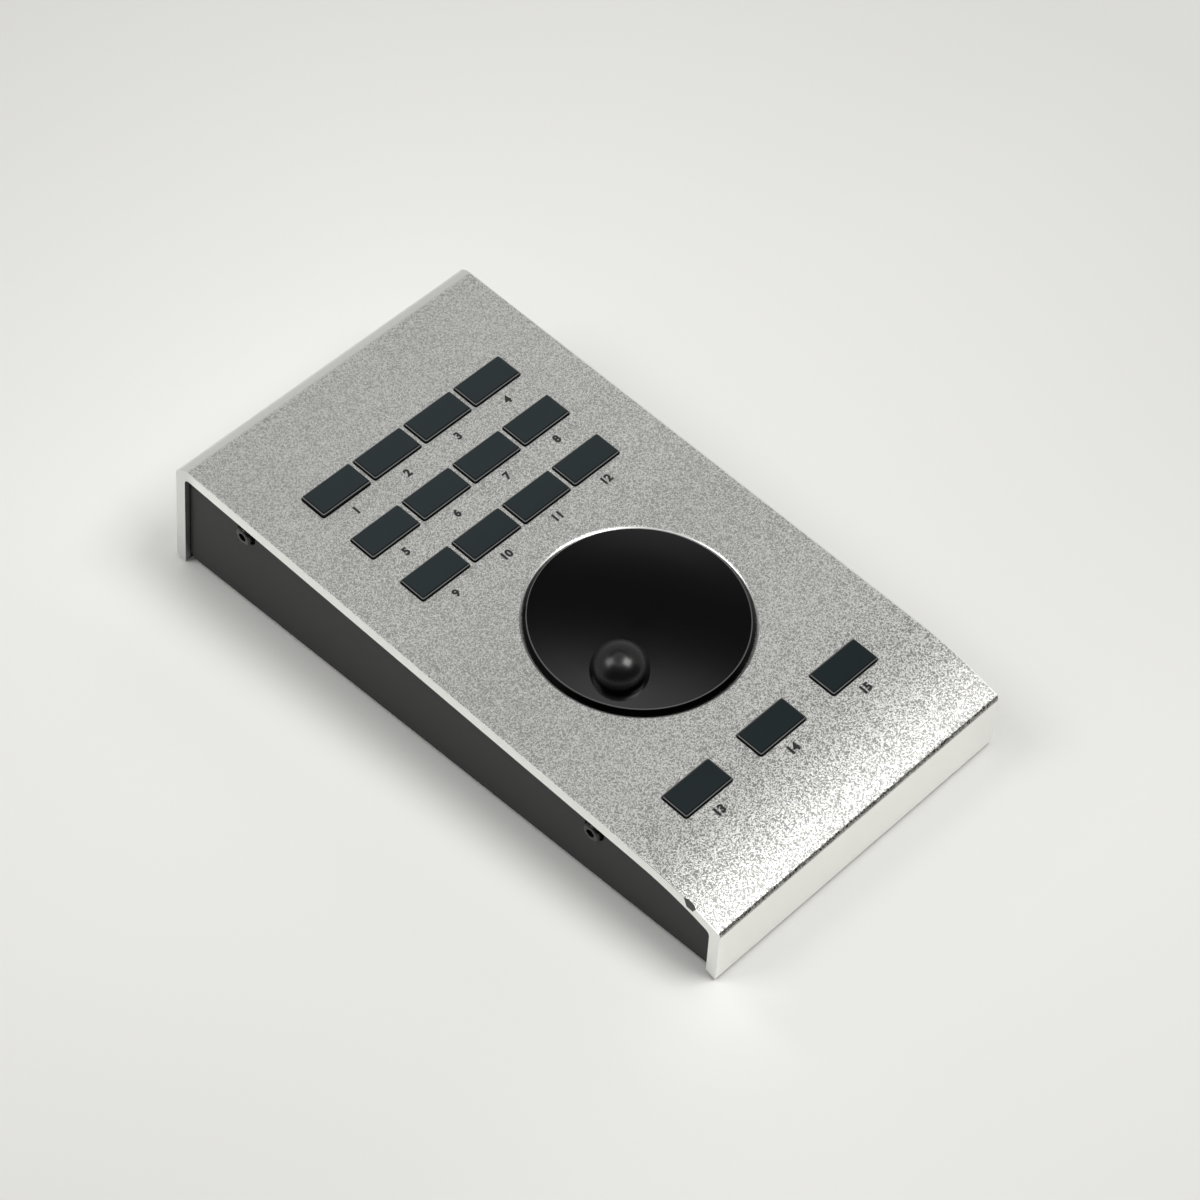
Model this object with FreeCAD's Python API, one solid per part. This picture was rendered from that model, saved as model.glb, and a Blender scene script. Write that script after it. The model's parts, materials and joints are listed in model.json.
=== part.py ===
import FreeCAD, Part
import os, math

os.makedirs("parts", exist_ok=True)
V = FreeCAD.Vector

# ---------------------------------------------------------------- driving dimensions (mm)
WIDTH = 105.0            # cover, side to side
TILT = 4.65              # slope of the control face, degrees
T_TOP = 3.6              # cover top wall
T_WALL = 3.4             # cover front and rear walls
R_NOSE = 87.5            # large radius that bends the top down to the front
S_NOSE = 28.0            # where that bend starts, from the front face
FRONT_BOT = (-0.36, -24.8)
FRONT_BOT_IN = (3.05, -23.8)
REAR_BOT = (203.07, -40.5)
REAR_BOT_IN = (199.66, -41.3)
REAR_S0 = 201.1          # outer rear wall at n = -4.68
REAR_LEAN = 0.055        # outward lean of the rear wall
GROUND_N = -25.4         # table level under the front edge, in the tilted frame
GROUND_S = -0.36

PANEL_OUT = 50.9         # side panels: outer face
PANEL_T = 4.5
PANEL_GAP = 0.3          # gap between the panels and the cover
BASE_Z0, BASE_T = 2.0, 1.5
LEDGE_IN, LEDGE_T = 38.0, 3.0

SCREW_S = (44.85, 175.0) # side screws, along the slope
SCREW_N = -8.0
PORT_R, PORT_BORE = 3.4, 1.25
CBORE_R, CBORE_X = 3.4, 49.45
HEAD_R, HEAD_H, SHANK_R = 2.75, 3.0, 1.2

KEY_W, KEY_D = 16.9, 8.6 # key cap outline
CUT_W, CUT_D = 17.4, 9.1 # its opening in the cover
KEY_PROUD = 1.0
KEY_BEVEL = 0.45
KEY_R = 0.5
KEY1_EXTRA = 0.35        # the first cap stands slightly higher
KEY_TRAVEL = 0.8
PITCH_X = 18.67
COLS = [(-1.5 + i) * PITCH_X for i in range(4)]
ROWS = [164.6, 145.6, 126.6]
LOW_PITCH, LOW_S = 27.4, 32.2

WHEEL_S = 79.3
WHEEL_R = 30.45
WHEEL_TOP = 1.2          # face height at its rim
WHEEL_CROWN = 0.7        # rise of the face towards the middle
WHEEL_CH = 1.1
WHEEL_BOT = -1.2
POCKET_R, POCKET_N = 30.8, -1.6
NICK_S, NICK_W, NICK_H = 10.4, 0.6, 2.5   # place of the nick, its reach in the top and down the side
HUB_R, HUB_HOLE_R = 6.0, 6.6
DOME_DX, DOME_DS, DOME_R = -16.2, -8.65, 7.8
DOME_CN, DOME_N0 = 2.13, 1.2
SHAFT_R = 3.0

BOARD_N = -14.2          # key board top face
BOARD_T = 1.6
BRACKET_N = -6.5         # encoder bracket top face
BRACKET_T = 1.2

MAIN_Z = 7.5             # main board underside, above the table
MAIN_T = 1.6
JACK_X, JACK_Z = 20.0, 21.0
USB_X = -20.0

# ---------------------------------------------------------------- frames
th = math.radians(TILT)
CS, SN = math.cos(th), math.sin(th)
Z_GROUND = GROUND_S * SN + GROUND_N * CS

def yz(s, n):
    """Tilted frame to the level frame."""
    return s * CS - n * SN, s * SN + n * CS - Z_GROUND

Y_FRONT = yz(0.03, -4.6)[0]
Y_REAR = yz(*REAR_BOT)[0]
Y_MID = 0.5 * (Y_FRONT + Y_REAR)

TILTED = FreeCAD.Placement(V(0, -Y_MID, -Z_GROUND), FreeCAD.Rotation(V(1, 0, 0), TILT))
LEVEL = FreeCAD.Placement(V(0, -Y_MID, 0), FreeCAD.Rotation())

def tilted(shape):
    s = shape.copy()
    s.Placement = TILTED.multiply(s.Placement)
    return s

def level(shape):
    s = shape.copy()
    s.Placement = LEVEL.multiply(s.Placement)
    return s

# ---------------------------------------------------------------- helpers
def box(x0, x1, y0, y1, z0, z1):
    return Part.makeBox(x1 - x0, y1 - y0, z1 - z0, V(x0, y0, z0))

def cyl(x, y, z0, z1, r):
    return Part.makeCylinder(r, z1 - z0, V(x, y, z0), V(0, 0, 1))

def cylx(x0, x1, y, z, r):
    return Part.makeCylinder(r, x1 - x0, V(x0, y, z), V(1, 0, 0))

def hexa(x, y, z0, z1, af, turn=0.0):
    r = af / math.sqrt(3.0)
    pts = [V(x + r * math.cos(math.radians(60 * i + turn)), y + r * math.sin(math.radians(60 * i + turn)), z0) for i in range(7)]
    return Part.Face(Part.makePolygon(pts)).extrude(V(0, 0, z1 - z0))

def rrect(cx, cy, z, w, d, r):
    """Rounded rectangle wire at height z."""
    x0, x1, y0, y1 = cx - w / 2, cx + w / 2, cy - d / 2, cy + d / 2
    k = r * (1 - math.sqrt(0.5))
    e = []
    def arc(a, b, c):
        e.append(Part.Arc(V(*a, z), V(*b, z), V(*c, z)).toShape())
    def seg(a, b):
        e.append(Part.makeLine(V(*a, z), V(*b, z)))
    seg((x0 + r, y0), (x1 - r, y0)); arc((x1 - r, y0), (x1 - k, y0 + k), (x1, y0 + r))
    seg((x1, y0 + r), (x1, y1 - r)); arc((x1, y1 - r), (x1 - k, y1 - k), (x1 - r, y1))
    seg((x1 - r, y1), (x0 + r, y1)); arc((x0 + r, y1), (x0 + k, y1 - k), (x0, y1 - r))
    seg((x0, y1 - r), (x0, y0 + r)); arc((x0, y0 + r), (x0 + k, y0 + k), (x0 + r, y0))
    return Part.Wire(e)

def rprism(cx, cy, z0, z1, w, d, r):
    return Part.Face(rrect(cx, cy, z0, w, d, r)).extrude(V(0, 0, z1 - z0))

def rloft(cx, cy, z0, w0, d0, r0, z1, w1, d1, r1):
    return Part.makeLoft([rrect(cx, cy, z0, w0, d0, r0), rrect(cx, cy, z1, w1, d1, r1)], True, True)

def fuse(shapes):
    out = shapes[0]
    if len(shapes) > 1:
        out = out.multiFuse(shapes[1:])
    return out.removeSplitter()

def group(shapes):
    """Separate solids kept as one node."""
    sol = []
    for s in shapes:
        sol += s.Solids
    return Part.makeCompound(sol)

def edges_at(shape, tests, tol=0.02):
    """Edges along X that pass through one of the (y, z) points."""
    out = []
    for e in shape.Edges:
        a, b = e.Vertexes[0].Point, e.Vertexes[-1].Point
        if abs(a.y - b.y) < 1e-6 and abs(a.z - b.z) < 1e-6 and abs(a.x - b.x) > 1:
            for (y, z) in tests:
                if math.hypot(a.y - y, a.z - z) < tol:
                    out.append(e)
    return out

nodes = {}

# ---------------------------------------------------------------- cover profile (s, n)
def rear_out(n):
    return REAR_S0 - REAR_LEAN * (n + 4.68)

def rear_in(n):
    return REAR_S0 - T_WALL - 0.05 - REAR_LEAN * (n + 4.68)

def front_out(n):
    return 0.0202 * (n + 6.0)

def nose(s, off):
    """Height of the bent top, off below the outer face."""
    r = R_NOSE - off
    return -R_NOSE + math.sqrt(r * r - (S_NOSE - s) ** 2)

def arc_pt(off, s):
    return (s, nose(s, off))

HW = WIDTH / 2
n_f = -4.6
for _ in range(20):
    n_f = nose(front_out(n_f), 0.0)
F_TOP = (front_out(n_f), n_f)
s_fi = FRONT_BOT_IN[0] + 0.35
F_TOP_IN = (s_fi, nose(s_fi, T_TOP))
R_TOP = (rear_out(0.0), 0.0)
R_TOP_IN = (rear_in(-T_TOP), -T_TOP)

def p3(p, x=-HW):
    return V(x, p[0], p[1])

def nose_arc(off, s0, x=-HW):
    sm = 0.5 * (s0 + S_NOSE)
    return Part.Arc(p3(arc_pt(off, s0), x), p3(arc_pt(off, sm), x), p3((S_NOSE, -off), x)).toShape()

def line(a, b, x=-HW):
    return Part.makeLine(p3(a, x), p3(b, x))

prof = [
    line(FRONT_BOT, F_TOP),
    nose_arc(0.0, F_TOP[0]),
    line((S_NOSE, 0.0), R_TOP),
    line(R_TOP, REAR_BOT),
    line(REAR_BOT, REAR_BOT_IN),
    line(REAR_BOT_IN, R_TOP_IN),
    line(R_TOP_IN, (S_NOSE, -T_TOP)),
    nose_arc(T_TOP, F_TOP_IN[0]),
    line(F_TOP_IN, FRONT_BOT_IN),
    line(FRONT_BOT_IN, FRONT_BOT),
]
wire = Part.Wire(Part.__sortEdges__(prof))
cover = Part.Face(wire).extrude(V(WIDTH, 0, 0))
cover = cover.makeFillet(4.6, edges_at(cover, [R_TOP]))
cover = cover.makeFillet(2.0, edges_at(cover, [R_TOP_IN]))
cover = cover.makeFillet(1.0, edges_at(cover, [F_TOP]))
cover = cover.makeFillet(2.0, edges_at(cover, [F_TOP_IN]))
cover = cover.makeFillet(0.4, edges_at(cover, [FRONT_BOT, REAR_BOT]))

# screw ports under the top, cut back to the side panels' inner faces
PX = PANEL_OUT - PANEL_T - 0.1
ports = []
for s in SCREW_S:
    ports.append(cylx(-PX, PX, s, SCREW_N, PORT_R))
    ports.append(box(-PX, PX, s - 2.4, s + 2.4, SCREW_N, -T_TOP + 0.5))
cover = cover.multiFuse(ports)
for s in SCREW_S:
    cover = cover.cut(cylx(-PX - 1, PX + 1, s, SCREW_N, PORT_BORE))

# key openings with a small edge break
key_pos = []
for s in ROWS:
    for x in COLS:
        key_pos.append((x, s))
for i in range(3):
    key_pos.append(((i - 1) * LOW_PITCH, LOW_S))
cutters = []
for (x, s) in key_pos:
    cutters.append(rprism(x, s, -6.0, 1.0, CUT_W, CUT_D, 0.7))
    cutters.append(rloft(x, s, -0.18, CUT_W, CUT_D, 0.7, 0.12, CUT_W + 0.6, CUT_D + 0.6, 1.0))
# round pocket and hub hole for the wheel
cutters.append(cyl(0, WHEEL_S, POCKET_N, 1.0, POCKET_R))
cutters.append(Part.makeCone(POCKET_R, POCKET_R + 0.9, 0.54, V(0, WHEEL_S, -0.33), V(0, 0, 1)))
cutters.append(cyl(0, WHEEL_S, -8.0, 1.0, HUB_HOLE_R))
# shallow nick in the left edge, near the front
na = math.atan2(NICK_H, NICK_W)
ca, sa = math.cos(na), math.sin(na)
nd = NICK_W * sa
def nick_pt(ds, t, l):
    return V(-HW + NICK_W - sa * t + ca * l, NICK_S + ds, nose(NICK_S, 0.0) + ca * t + sa * l)
outline = [(-2.2, nd), (-1.0, 0.0), (1.1, 0.0), (2.2, nd), (2.2, 3.0), (-2.2, 3.0), (-2.2, nd)]
cutters.append(Part.Face(Part.makePolygon([nick_pt(a, b, -4.0) for a, b in outline])).extrude(V(8.0 * ca, 0, 8.0 * sa)))
for c in cutters:
    cover = cover.cut(c)

# ---------------------------------------------------------------- rear wall frame for the jack
def wall_frame(z_target):
    """Point on the outer rear face at height z, and the wall's outward normal, level frame."""
    lo, hi = -41.0, -4.0
    for _ in range(60):
        m = 0.5 * (lo + hi)
        if yz(rear_out(m), m)[1] < z_target:
            lo = m
        else:
            hi = m
    n = 0.5 * (lo + hi)
    y, z = yz(rear_out(n), n)
    ln = math.hypot(1.0, REAR_LEAN)
    ds, dn = 1.0 / ln, REAR_LEAN / ln
    ny, nz = ds * CS - dn * SN, ds * SN + dn * CS
    return y, z, ny, nz

JY, JZ, JNY, JNZ = wall_frame(JACK_Z)
JACK_PL = FreeCAD.Placement(V(JACK_X, JY, JZ), FreeCAD.Rotation(V(0, 0, 1), V(0, JNY, JNZ)))

def walled(shape):
    """z = outwards from the rear face, at the jack."""
    s = shape.copy()
    s.Placement = JACK_PL.multiply(s.Placement)
    return level(s)

cover_l = tilted(cover)
cover_l = cover_l.cut(walled(cyl(0, 0, -6.0, 3.0, 4.85)))
USB_Z0 = MAIN_Z + MAIN_T
USB_W, USB_H, USB_L = 12.0, 10.9, 16.2
USB_Y1 = wall_frame(USB_Z0 + USB_H)[0] - 0.15
usb_cut = rprism(0, 0, 0, 14.0, USB_W + 0.8, USB_H + 0.8, 0.8)
usb_cut.Placement = FreeCAD.Placement(V(USB_X, USB_Y1 - 7.0, USB_Z0 + USB_H / 2), FreeCAD.Rotation(V(1, 0, 0), -90))
cover_l = cover_l.cut(level(usb_cut))
nodes["top_cover"] = cover_l

# ---------------------------------------------------------------- side panels
def z2n(z, s):
    """n of a level plane at height z."""
    return (z + Z_GROUND - s * SN) / CS

def panel(side):
    xo = PANEL_OUT
    xi = PANEL_OUT - PANEL_T
    x0 = -xo if side < 0 else xi
    g = PANEL_GAP
    s_f = s_fi + g + 0.05
    off = T_TOP + g
    p_tf = (s_f, nose(s_f, off))
    n_b = z2n(BASE_Z0, s_f)
    p_bf = (s_f - 0.2, n_b)
    p_tr = (rear_in(-off) - 0.4, -off)
    s_br = rear_in(-38.5) - 0.4
    p_br1 = (s_br, z2n(BASE_Z0, s_br) + 1.6)
    p_br2 = (s_br - 1.6, z2n(BASE_Z0, s_br - 1.6))
    w = Part.Wire(Part.__sortEdges__([
        nose_arc(off, s_f, x0),
        line((S_NOSE, -off), p_tr, x0),
        line(p_tr, p_br1, x0),
        line(p_br1, p_br2, x0),
        line(p_br2, p_bf, x0),
        line(p_bf, p_tf, x0)]))
    b = Part.Face(w).extrude(V(PANEL_T, 0, 0))
    b = b.makeFillet(2.2, edges_at(b, [p_tf, p_tr]))
    for s in SCREW_S:
        if side < 0:
            b = b.cut(cylx(-xo - 1, -CBORE_X, s, SCREW_N, CBORE_R))
            b = b.cut(cylx(-xo - 1, -xi + 1, s, SCREW_N, 1.7))
        else:
            b = b.cut(cylx(CBORE_X, xo + 1, s, SCREW_N, CBORE_R))
            b = b.cut(cylx(xi - 1, xo + 1, s, SCREW_N, 1.7))
    b = tilted(b)
    # inner ledge that the base plate screws to
    l = box(LEDGE_IN, xi + 0.5, 12.0, 192.0, BASE_Z0 + BASE_T, BASE_Z0 + BASE_T + LEDGE_T)
    if side < 0:
        l = box(-xi - 0.5, -LEDGE_IN, 12.0, 192.0, BASE_Z0 + BASE_T, BASE_Z0 + BASE_T + LEDGE_T)
    b = b.fuse(level(l)).removeSplitter()
    for y in BASE_SCREW_Y:
        b = b.cut(level(cyl(side * BASE_SCREW_X, y, BASE_Z0, BASE_Z0 + BASE_T + LEDGE_T + 1, 1.25)))
    return b

BASE_SCREW_X = 41.5
BASE_SCREW_Y = (20.0, 102.0, 184.0)
nodes["side_panel_left"] = panel(-1)
nodes["side_panel_right"] = panel(1)

# ---------------------------------------------------------------- base plate, its screws and the feet
BPX = PANEL_OUT - PANEL_T - 0.15
base = rprism(0, (5.7 + 201.4) / 2, BASE_Z0, BASE_Z0 + BASE_T, 2 * BPX, 201.4 - 5.7, 1.2)
FEET = [(-33.0, 20.0), (33.0, 20.0), (-33.0, 186.0), (33.0, 186.0)]
MAIN_HOLES = [(-32.0, 157.0), (32.0, 157.0), (-32.0, 195.0), (32.0, 195.0)]
bscrews = []
for sx in (-1, 1):
    for y in BASE_SCREW_Y:
        x = sx * BASE_SCREW_X
        base = base.cut(cyl(x, y, 0, 6, 1.6)).cut(Part.makeCone(3.0, 1.6, 1.4, V(x, y, BASE_Z0), V(0, 0, 1)))
        sc = Part.makeCone(2.95, 1.2, 1.4, V(x, y, BASE_Z0 + 0.02), V(0, 0, 1)).fuse(cyl(x, y, BASE_Z0 + 1.0, BASE_Z0 + 6.0, 1.2))
        sc = sc.cut(hexa(x, y, BASE_Z0 - 1, BASE_Z0 + 1.0, 2.0))
        bscrews.append(sc.removeSplitter())
for (x, y) in MAIN_HOLES:
    base = base.cut(cyl(x, y, 0, 6, 1.3))
nodes["base_plate"] = level(base)
nodes["base_screws"] = level(group(bscrews))

feet = []
for (x, y) in FEET:
    f = cyl(x, y, 0.0, BASE_Z0, 5.5)
    f = f.makeFillet(0.7, [e for e in f.Edges if abs(e.BoundBox.ZMax) < 1e-6])
    feet.append(f)
nodes["rubber_feet"] = level(group(feet))

# ---------------------------------------------------------------- side screws: socket heads in counterbores
sscrews = []
for side in (-1, 1):
    for s in SCREW_S:
        h = cylx(CBORE_X, CBORE_X + HEAD_H, s, SCREW_N, HEAD_R)
        h = h.makeFillet(0.85, [e for e in h.Edges if abs(e.BoundBox.XMin - (CBORE_X + HEAD_H)) < 1e-6])
        h = h.fuse(cylx(CBORE_X - 11.0, CBORE_X + 0.2, s, SCREW_N, SHANK_R)).removeSplitter()
        hx = hexa(0, 0, 0, 3.0, 2.5, 15)
        hx.Placement = FreeCAD.Placement(V(CBORE_X + HEAD_H - 1.6, s, SCREW_N), FreeCAD.Rotation(V(0, 1, 0), 90))
        h = h.cut(hx)
        if side < 0:
            h = h.mirror(V(0, 0, 0), V(1, 0, 0))
        sscrews.append(h)
nodes["side_screws"] = tilted(group(sscrews))

# ---------------------------------------------------------------- keys
def key(i):
    x, s = key_pos[i]
    top = KEY_PROUD + (KEY1_EXTRA if i == 0 else 0.0)
    body = rprism(x, s, -4.4, top - KEY_BEVEL, KEY_W, KEY_D, KEY_R)
    cap = rloft(x, s, top - KEY_BEVEL, KEY_W, KEY_D, KEY_R, top, KEY_W - 2 * KEY_BEVEL, KEY_D - 2 * KEY_BEVEL, 0.35)
    flange = rprism(x, s, -4.95, -3.95, KEY_W, KEY_D + 1.9, 0.6)
    stem = cyl(x, s, -11.4, -4.5, 1.65)
    ribs = box(x - 3.0, x + 3.0, s - 0.4, s + 0.4, -7.2, -4.5)
    return tilted(fuse([body, cap, flange, stem, ribs]))

for i in range(15):
    nodes["key_%02d" % (i + 1)] = key(i)

sw, leds = [], []
for (x, s) in key_pos:
    b = rprism(x, s, BOARD_N, BOARD_N + 3.8, 6.2, 6.2, 0.5)
    b = b.cut(cyl(x, s, BOARD_N + 0.8, BOARD_N + 5.0, 1.75))
    sw.append(b)
    leds.append(box(x + 4.6, x + 6.6, s - 0.7, s + 0.7, BOARD_N, BOARD_N + 0.8))
nodes["key_switches"] = tilted(group(sw))
nodes["key_leds"] = tilted(group(leds))

# ---------------------------------------------------------------- key board on standoffs under the cover
board = rprism(0, 97.0, BOARD_N - BOARD_T, BOARD_N, 89.0, 152.0, 1.5)
KB = [(sx * 41.0, s) for s in (25.0, 70.0, 115.0, 168.0) for sx in (-1, 1)]
stand, kscr = [], []
for (x, s) in KB:
    board = board.cut(cyl(x, s, BOARD_N - 4, BOARD_N + 2, 1.35))
    ctop = -T_TOP if s > S_NOSE else nose(s - 2.6, T_TOP) - 0.02
    st = cyl(x, s, BOARD_N, ctop, 2.5).cut(cyl(x, s, BOARD_N - 1, BOARD_N + 6.0, 1.05))
    stand.append(st)
    sc = cyl(x, s, BOARD_N - BOARD_T - 1.7, BOARD_N - BOARD_T, 2.3)
    sc = sc.makeFillet(0.7, [e for e in sc.Edges if abs(e.BoundBox.ZMax - (BOARD_N - BOARD_T - 1.7)) < 1e-6])
    sc = sc.fuse(cyl(x, s, BOARD_N - BOARD_T - 0.2, BOARD_N + 4.5, 1.0)).removeSplitter()
    sc = sc.cut(box(x - 1.3, x + 1.3, s - 0.25, s + 0.25, BOARD_N - BOARD_T - 2, BOARD_N - BOARD_T - 0.9)).cut(box(x - 0.25, x + 0.25, s - 1.3, s + 1.3, BOARD_N - BOARD_T - 2, BOARD_N - BOARD_T - 0.9))
    kscr.append(sc)
nodes["key_board"] = tilted(board)
nodes["key_board_standoffs"] = tilted(group(stand))
nodes["key_board_screws"] = tilted(group(kscr))

# ---------------------------------------------------------------- rotary encoder and its bracket
BR = [(sx * 17.0, WHEEL_S + sy * 9.0) for sx in (-1, 1) for sy in (-1, 1)]
br = rprism(0, WHEEL_S, BRACKET_N - BRACKET_T, BRACKET_N, 44.0, 26.0, 3.0)
br = br.cut(cyl(0, WHEEL_S, -20, 0, 3.55))
bst, bsc = [], []
for (x, s) in BR:
    br = br.cut(cyl(x, s, -20, 0, 1.35))
    bst.append(hexa(x, s, BRACKET_N, -T_TOP, 5.0).cut(cyl(x, s, BRACKET_N - 1, -T_TOP - 0.5, 1.05)))
    sc = cyl(x, s, BRACKET_N - BRACKET_T - 1.6, BRACKET_N - BRACKET_T, 2.25)
    sc = sc.makeFillet(0.6, [e for e in sc.Edges if abs(e.BoundBox.ZMax - (BRACKET_N - BRACKET_T - 1.6)) < 1e-6])
    sc = sc.fuse(cyl(x, s, BRACKET_N - BRACKET_T - 0.2, BRACKET_N + 2.2, 1.0)).removeSplitter()
    sc = sc.cut(box(x - 1.3, x + 1.3, s - 0.25, s + 0.25, -20, BRACKET_N - BRACKET_T - 0.8)).cut(box(x - 0.25, x + 0.25, s - 1.3, s + 1.3, -20, BRACKET_N - BRACKET_T - 0.8))
    bsc.append(sc)
nodes["encoder_bracket"] = tilted(br)
nodes["bracket_standoffs"] = tilted(group(bst))
nodes["bracket_screws"] = tilted(group(bsc))

E_TOP = BRACKET_N - BRACKET_T
housing = rprism(0, WHEEL_S, BOARD_N, E_TOP, 13.2, 12.4, 0.8)
housing = housing.cut(cyl(0, WHEEL_S, BOARD_N + 1.2, E_TOP - 1.0, 5.2)).cut(cyl(0, WHEEL_S, E_TOP - 2, E_TOP + 1, 3.05))
nodes["encoder_housing"] = tilted(housing)
nodes["encoder_bushing"] = tilted(cyl(0, WHEEL_S, E_TOP, -4.3, 3.5).cut(cyl(0, WHEEL_S, -20, 0, 3.05)))
nodes["encoder_washer"] = tilted(cyl(0, WHEEL_S, BRACKET_N, BRACKET_N + 0.5, 5.25).cut(cyl(0, WHEEL_S, -20, 0, 3.55)))
nut = hexa(0, WHEEL_S, BRACKET_N + 0.5, BRACKET_N + 2.1, 10.0).cut(cyl(0, WHEEL_S, -20, 0, 3.52))
nodes["encoder_nut"] = tilted(nut)
shaft = cyl(0, WHEEL_S, BOARD_N + 1.5, 0.6, SHAFT_R).fuse(cyl(0, WHEEL_S, BOARD_N + 1.5, E_TOP - 1.25, 5.0)).removeSplitter()
nodes["encoder_shaft"] = tilted(shaft)

# ---------------------------------------------------------------- jog wheel: crowned disc, edge chamfer, hub, seat for the finger dome
r_c = (WHEEL_R - WHEEL_CH)
sag = WHEEL_CROWN
R_cr = (r_c * r_c + sag * sag) / (2 * sag)
e = []
def w3(r, n):
    return V(r, 0, n)
z_edge = WHEEL_TOP
z_mid = WHEEL_TOP + sag
rm = r_c / 2
zm = z_mid - (R_cr - math.sqrt(R_cr * R_cr - rm * rm))
e.append(Part.Arc(w3(0, z_mid), w3(rm, zm), w3(r_c, z_edge)).toShape())
pts = [(r_c, z_edge), (WHEEL_R, z_edge - WHEEL_CH), (WHEEL_R, WHEEL_BOT + 0.3), (WHEEL_R - 0.3, WHEEL_BOT), (26.5, WHEEL_BOT), (26.5, 0.2), (10.0, 0.2), (10.0, WHEEL_BOT),
       (HUB_R, WHEEL_BOT), (HUB_R, -3.9), (4.3, -3.9), (4.3, 0.9), (0, 0.9), (0, z_mid)]
for a, b in zip(pts[:-1], pts[1:]):
    e.append(Part.makeLine(w3(*a), w3(*b)))
wheel = Part.Face(Part.Wire(Part.__sortEdges__(e))).revolve(V(0, 0, 0), V(0, 0, 1), 360)
if wheel.ShapeType != "Solid":
    wheel = Part.makeSolid(wheel) if wheel.ShapeType == "Shell" else wheel.Solids[0]
wheel.translate(V(0, WHEEL_S, 0))
DX, DS = DOME_DX, WHEEL_S + DOME_DS
seat = cyl(DX, DS, WHEEL_BOT, 1.0, 5.5)
wheel = wheel.fuse(seat).removeSplitter()
wheel = wheel.cut(cyl(DX, DS, DOME_N0, 6.0, DOME_R + 0.03)).cut(cyl(DX, DS, 0.0, 3.0, 2.5))
nodes["jog_wheel"] = tilted(wheel)
dome = Part.makeSphere(DOME_R, V(DX, DS, DOME_CN)).common(box(DX - 20, DX + 20, DS - 20, DS + 20, DOME_N0, 30.0))
dome = dome.fuse(cyl(DX, DS, 0.1, DOME_N0 + 0.3, 2.49)).removeSplitter()
nodes["finger_dome"] = tilted(dome)
nodes["wheel_hub_insert"] = tilted(cyl(0, WHEEL_S, -3.8, 0.85, 4.28).cut(cyl(0, WHEEL_S, -5, 0.62, SHAFT_R)))

# ---------------------------------------------------------------- main board with its parts, on the base plate
mb = rprism(0, (151.5 + 199.5) / 2, MAIN_Z, MAIN_Z + MAIN_T, 73.0, 199.5 - 151.5, 1.5)
mst, msc = [], []
ZB = BASE_Z0 + BASE_T
for (x, y) in MAIN_HOLES:
    mb = mb.cut(cyl(x, y, 0, 12, 1.35))
    mst.append(cyl(x, y, ZB, MAIN_Z, 2.5).cut(cyl(x, y, ZB + 1.0, MAIN_Z + 1, 1.05)))
    sc = cyl(x, y, MAIN_Z + MAIN_T, MAIN_Z + MAIN_T + 1.7, 2.3)
    sc = sc.makeFillet(0.7, [q for q in sc.Edges if abs(q.BoundBox.ZMin - (MAIN_Z + MAIN_T + 1.7)) < 1e-6])
    sc = sc.fuse(cyl(x, y, MAIN_Z - 2.6, MAIN_Z + MAIN_T + 0.2, 1.0)).removeSplitter()
    sc = sc.cut(box(x - 1.3, x + 1.3, y - 0.25, y + 0.25, MAIN_Z + MAIN_T + 0.9, 20)).cut(box(x - 0.25, x + 0.25, y - 1.3, y + 1.3, MAIN_Z + MAIN_T + 0.9, 20))
    msc.append(sc)
nodes["main_board"] = level(mb)
nodes["main_board_standoffs"] = level(group(mst))
nodes["main_board_screws"] = level(group(msc))
ZT = MAIN_Z + MAIN_T
nodes["controller_chip"] = level(rprism(-14.0, 172.0, ZT, ZT + 1.4, 10.0, 10.0, 0.3))
parts_ = [cyl(8.0, 170.0, ZT, ZT + 6.0, 2.5), cyl(14.5, 170.0, ZT, ZT + 6.0, 2.5), rprism(-25.0, 172.0, ZT, ZT + 3.5, 4.6, 11.0, 2.0),
          box(20.0, 26.5, 164.0, 167.5, ZT, ZT + 1.6), box(-30.0, -28.4, 180.0, 183.2, ZT, ZT + 0.9), box(-4.0, -2.4, 178.0, 181.2, ZT, ZT + 0.9),
          box(1.0, 2.6, 178.0, 181.2, ZT, ZT + 0.9)]
nodes["board_parts"] = level(group(parts_))

# USB type B socket: plated shell and its insulator with the tongue
sh = box(USB_X - USB_W / 2, USB_X + USB_W / 2, USB_Y1 - USB_L, USB_Y1, ZT, ZT + USB_H)
zc = ZT + USB_H / 2
ow, oh = 8.45, 7.8
def usb_open(grow, y0, y1):
    w, h = ow / 2 + grow, oh / 2 + grow
    c = 1.9
    pts = [(-w, -h), (w, -h), (w, h - c), (w - c, h), (-w + c, h), (-w, h - c), (-w, -h)]
    return Part.Face(Part.makePolygon([V(USB_X + px, y0, zc + pz) for px, pz in pts])).extrude(V(0, y1 - y0, 0))
inner = box(USB_X - USB_W / 2 + 0.4, USB_X + USB_W / 2 - 0.4, USB_Y1 - USB_L - 1, USB_Y1 - 0.5, ZT + 0.4, ZT + USB_H - 0.4)
shell = sh.cut(inner).cut(usb_open(0.0, USB_Y1 - 2, USB_Y1 + 1))
nodes["usb_socket_shell"] = level(shell)
ins = box(USB_X - USB_W / 2 + 0.4, USB_X + USB_W / 2 - 0.4, USB_Y1 - USB_L, USB_Y1 - 0.5, ZT + 0.4, ZT + USB_H - 0.4)
ins = ins.cut(usb_open(0.0, USB_Y1 - 9.2, USB_Y1 + 1)).fuse(box(USB_X - 2.8, USB_X + 2.8, USB_Y1 - 9.4, USB_Y1 - 1.0, zc - 1.6, zc + 1.6)).removeSplitter()
nodes["usb_socket_insert"] = level(ins)

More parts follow.
